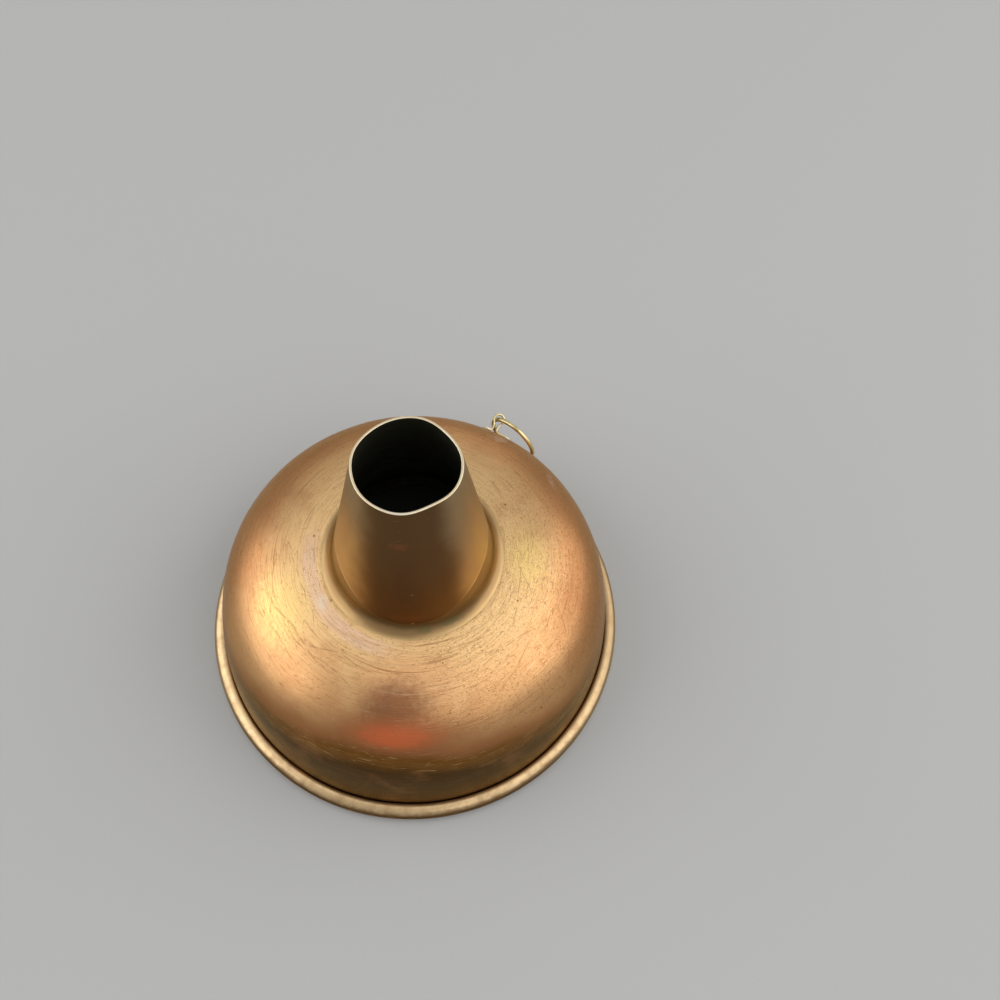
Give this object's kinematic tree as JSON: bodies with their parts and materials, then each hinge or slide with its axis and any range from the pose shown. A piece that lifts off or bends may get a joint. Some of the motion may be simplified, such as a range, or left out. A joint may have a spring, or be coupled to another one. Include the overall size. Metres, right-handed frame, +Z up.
{
  "type": "copper funnel with a hanging ring",
  "caption": "Spun copper funnel with a wired rolled rim, a straight tapered spout soldered over its collar, and a brass ring that swings in a strap eye on the bowl.",
  "frame": {"origin": "middle of the mouth, on the surface that the rolled rim stands on", "axes": "+Z up along the funnel's axis to the spout's tip, +Y to the back, and the hanger on the back right"},
  "size_m": [0.1, 0.1, 0.0772],
  "materials": {
    "copper": "burnished copper with a brown patina",
    "dark_copper": "dark burnished copper",
    "solder": "dull soft solder",
    "wire": "plain iron wire",
    "brass": "worn bright brass"
  },
  "bodies": {
    "funnel": {"bowl": "copper", "rim_wire": "wire", "spout": "dark_copper", "spout_solder": "solder", "hanger_strap": "brass", "hanger_solder_left": "solder", "hanger_solder_right": "solder"},
    "ring": {"hanging_ring": "brass"}
  },
  "joints": [
    {"name": "ring_swing", "type": "hinge", "parent": "funnel", "child": "ring", "pos_m": [0.02395, 0.03985, 0.02631], "axis": [0.4403, -0.5665, 0.6966], "range_deg": [0, 222]}
  ]
}
